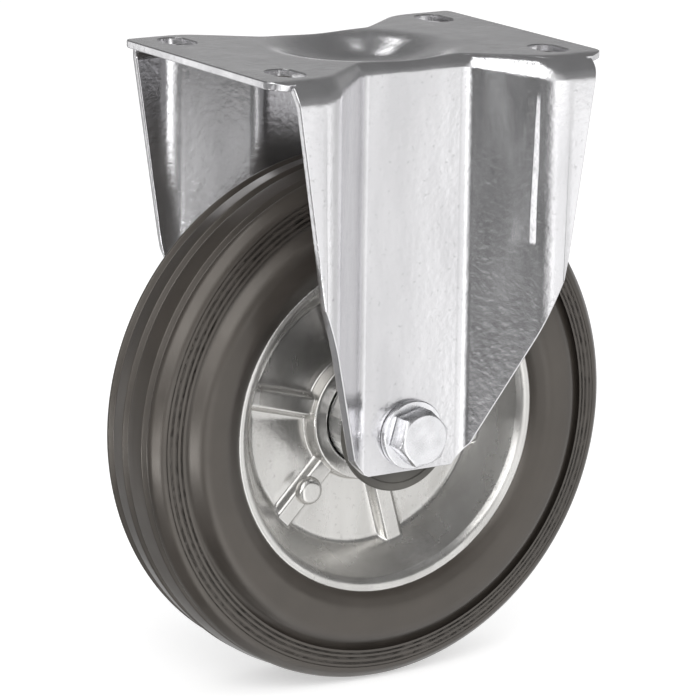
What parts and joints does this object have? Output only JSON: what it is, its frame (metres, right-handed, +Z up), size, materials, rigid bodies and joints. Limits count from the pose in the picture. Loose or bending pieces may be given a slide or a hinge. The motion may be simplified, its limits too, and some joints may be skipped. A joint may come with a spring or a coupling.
{
  "type": "fixed castor",
  "caption": "Fixed castor with a pressed steel fork and plate, a steel disc rim, a solid black rubber tyre and a roller bearing hub on a bolted axle.",
  "frame": {"origin": "on the floor under the middle of the axle, at the bottom centre of the whole castor; the axle is 100 mm above it and the plate's mounting face 239.8 mm", "axes": "+X is the rolling direction, +Y runs along the axle from the bolt head to the nut, +Z points up out of the top plate"},
  "size_m": [0.2, 0.12, 0.2398],
  "materials": {
    "fork_zinc": "bright zinc plate, faintly mottled, with light scuffs",
    "rim_zinc": "zinc plate, duller than the fork",
    "bolt_steel": "bright zinc plate",
    "bearing_steel": "ground steel",
    "grey_plastic": "dark grey moulded plastic",
    "tyre_rubber": "matt black rubber"
  },
  "bodies": {
    "fork": {"fork_bracket": "fork_zinc", "axle_sleeve": "bearing_steel", "axle_bolt": "bolt_steel", "axle_nut": "bolt_steel", "washer_front": "bolt_steel", "washer_rear": "bolt_steel"},
    "wheel": {"tyre": "tyre_rubber", "rim_disc_front": "rim_zinc", "rim_disc_rear": "rim_zinc", "rim_rivet_1": "rim_zinc", "rim_rivet_2": "rim_zinc", "rim_rivet_3": "rim_zinc", "hub_tube": "bearing_steel", "hub_cap_front": "grey_plastic", "hub_cap_rear": "grey_plastic"},
    "cage": {"roller_cage": "grey_plastic"},
    "roller_a": {"roller_1": "bearing_steel"},
    "roller_b": {"roller_2": "bearing_steel"},
    "roller_c": {"roller_3": "bearing_steel"},
    "roller_d": {"roller_4": "bearing_steel"},
    "roller_e": {"roller_5": "bearing_steel"},
    "roller_f": {"roller_6": "bearing_steel"},
    "roller_g": {"roller_7": "bearing_steel"},
    "roller_h": {"roller_8": "bearing_steel"}
  },
  "joints": [
    {"name": "wheel_spin", "type": "hinge", "parent": "fork", "child": "wheel", "pos_m": [0, 0, 0.1], "axis": [0, 1, 0], "continuous": true},
    {"name": "cage_spin", "type": "hinge", "parent": "fork", "child": "cage", "pos_m": [0, 0, 0.1], "axis": [0, 1, 0], "continuous": true},
    {"name": "roller_1_spin", "type": "hinge", "parent": "cage", "child": "roller_a", "pos_m": [0.0125, 0, 0.1], "axis": [0, 1, 0], "continuous": true},
    {"name": "roller_2_spin", "type": "hinge", "parent": "cage", "child": "roller_b", "pos_m": [0.00884, 0, 0.10884], "axis": [0, 1, 0], "continuous": true},
    {"name": "roller_3_spin", "type": "hinge", "parent": "cage", "child": "roller_c", "pos_m": [0, 0, 0.1125], "axis": [0, 1, 0], "continuous": true},
    {"name": "roller_4_spin", "type": "hinge", "parent": "cage", "child": "roller_d", "pos_m": [-0.00884, 0, 0.10884], "axis": [0, 1, 0], "continuous": true},
    {"name": "roller_5_spin", "type": "hinge", "parent": "cage", "child": "roller_e", "pos_m": [-0.0125, 0, 0.1], "axis": [0, 1, 0], "continuous": true},
    {"name": "roller_6_spin", "type": "hinge", "parent": "cage", "child": "roller_f", "pos_m": [-0.00884, 0, 0.09116], "axis": [0, 1, 0], "continuous": true},
    {"name": "roller_7_spin", "type": "hinge", "parent": "cage", "child": "roller_g", "pos_m": [0, 0, 0.0875], "axis": [0, 1, 0], "continuous": true},
    {"name": "roller_8_spin", "type": "hinge", "parent": "cage", "child": "roller_h", "pos_m": [0.00884, 0, 0.09116], "axis": [0, 1, 0], "continuous": true}
  ],
  "couplings": [
    {"joint": "cage_spin", "follows": "wheel_spin", "ratio": 0.6},
    {"joint": "roller_1_spin", "follows": "wheel_spin", "ratio": 2.4},
    {"joint": "roller_2_spin", "follows": "wheel_spin", "ratio": 2.4},
    {"joint": "roller_3_spin", "follows": "wheel_spin", "ratio": 2.4},
    {"joint": "roller_4_spin", "follows": "wheel_spin", "ratio": 2.4},
    {"joint": "roller_5_spin", "follows": "wheel_spin", "ratio": 2.4},
    {"joint": "roller_6_spin", "follows": "wheel_spin", "ratio": 2.4},
    {"joint": "roller_7_spin", "follows": "wheel_spin", "ratio": 2.4},
    {"joint": "roller_8_spin", "follows": "wheel_spin", "ratio": 2.4}
  ]
}
